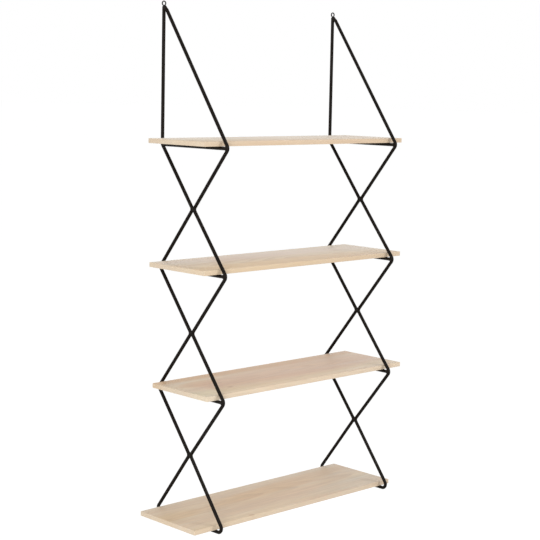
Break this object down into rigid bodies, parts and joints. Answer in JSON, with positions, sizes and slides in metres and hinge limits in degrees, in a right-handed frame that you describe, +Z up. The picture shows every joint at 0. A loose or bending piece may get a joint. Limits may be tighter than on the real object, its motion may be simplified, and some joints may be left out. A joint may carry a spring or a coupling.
{
  "type": "wall shelf",
  "caption": "Wall-hung shelving unit: zigzag frames of bent round rod hang from rings and carry loose wooden boards.",
  "frame": {"origin": "midway between the centres of the two hanging rings, on the plane of the wall", "axes": "+Z up, -Y out of the wall towards the room, +X to the right as seen from the room"},
  "size_m": [0.629, 0.2147, 1.1056],
  "materials": {
    "black_steel": "satin black paint",
    "pale_wood": "matt, pale, fine lengthwise grain"
  },
  "bodies": {
    "frames": {"left_rear_rod": "black_steel", "left_front_rod": "black_steel", "left_cross_rail_1": "black_steel", "left_cross_rail_2": "black_steel", "left_cross_rail_3": "black_steel", "left_hanging_ring": "black_steel", "right_rear_rod": "black_steel", "right_front_rod": "black_steel", "right_cross_rail_1": "black_steel", "right_cross_rail_2": "black_steel", "right_cross_rail_3": "black_steel", "right_hanging_ring": "black_steel"},
    "board_1": {"shelf_board_1": "pale_wood"},
    "board_2": {"shelf_board_2": "pale_wood"},
    "board_3": {"shelf_board_3": "pale_wood"},
    "board_4": {"shelf_board_4": "pale_wood"}
  },
  "joints": [
    {"name": "board_1_slide", "type": "slide", "parent": "frames", "child": "board_1", "axis": [1, 0, 0], "range_m": [-0.03, 0.042]},
    {"name": "board_2_slide", "type": "slide", "parent": "frames", "child": "board_2", "axis": [1, 0, 0], "range_m": [-0.036, 0.036]},
    {"name": "board_3_slide", "type": "slide", "parent": "frames", "child": "board_3", "axis": [1, 0, 0], "range_m": [-0.048, 0.024]},
    {"name": "board_4_slide", "type": "slide", "parent": "frames", "child": "board_4", "axis": [1, 0, 0], "range_m": [-0.019, 0.053]}
  ]
}
